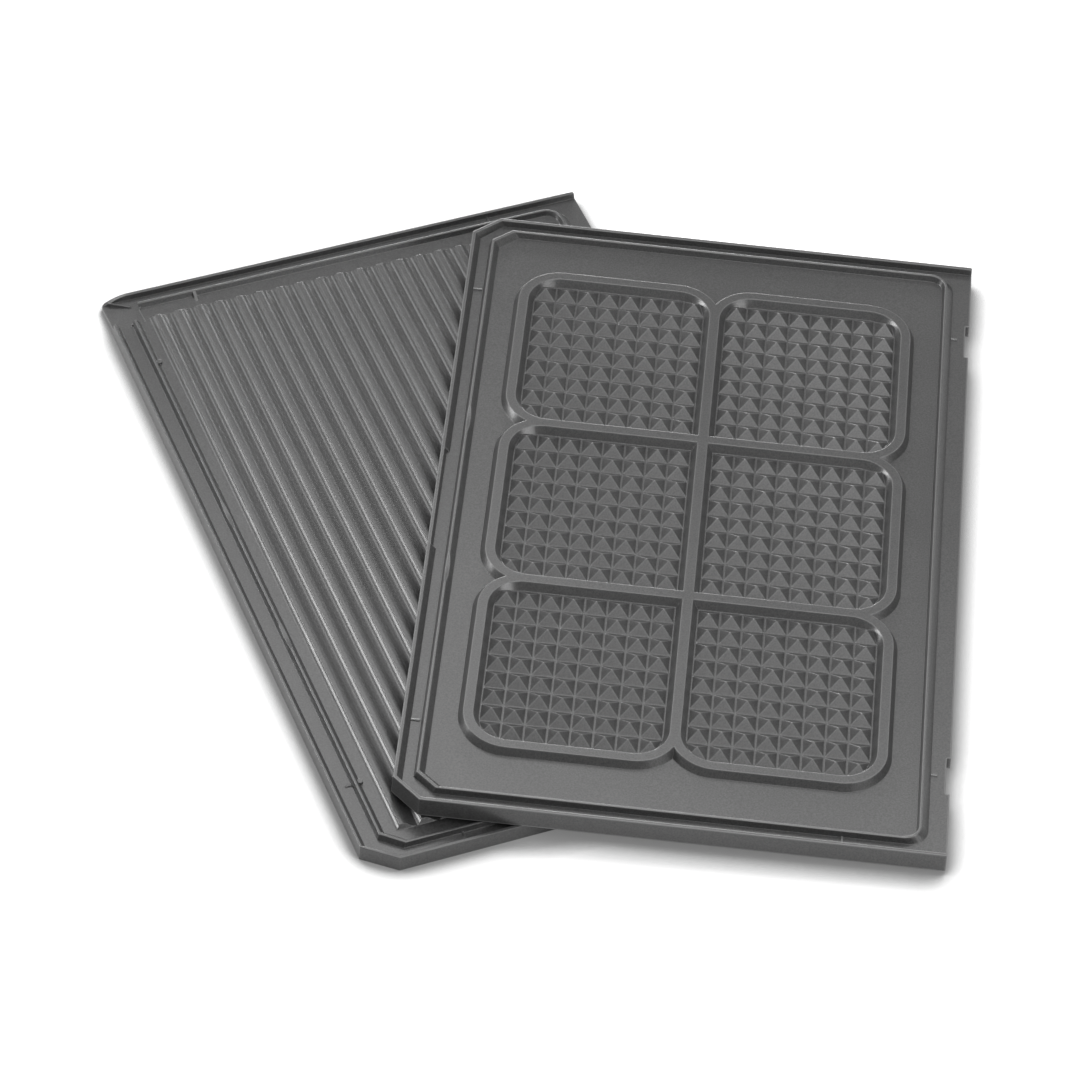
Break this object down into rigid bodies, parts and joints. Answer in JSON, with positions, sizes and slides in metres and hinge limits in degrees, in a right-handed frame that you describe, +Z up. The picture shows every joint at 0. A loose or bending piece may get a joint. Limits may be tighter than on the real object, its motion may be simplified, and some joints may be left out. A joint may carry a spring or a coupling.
{
  "type": "contact grill plate set",
  "caption": "Interchangeable non-stick plates of a contact grill: a ribbed grilling plate lies flat, and a waffle plate with fields of small pyramids leans across it.",
  "frame": {"origin": "under the centre of the ribbed plate's outline, on the plane of its standing rim, which is the table", "axes": "+X across the ribbed plate towards its plain edge with the two notches, +Y along the plate away from the viewer's end, +Z up, out of the cooking side"},
  "size_m": [0.3961, 0.4528, 0.0186],
  "materials": {
    "ribbed_plate": "cast aluminium with a satin dark grey non-stick coating",
    "waffle_plate": "cast aluminium with a satin dark grey non-stick coating"
  },
  "bodies": {
    "ribbed_plate": {"ribbed_plate": "ribbed_plate"},
    "waffle_plate": {"waffle_plate": "waffle_plate"}
  },
  "joints": [
    {"name": "waffle_plate_lift", "type": "slide", "parent": "ribbed_plate", "child": "waffle_plate", "axis": [0, 0, 1], "range_m": [0, 0.06]}
  ]
}
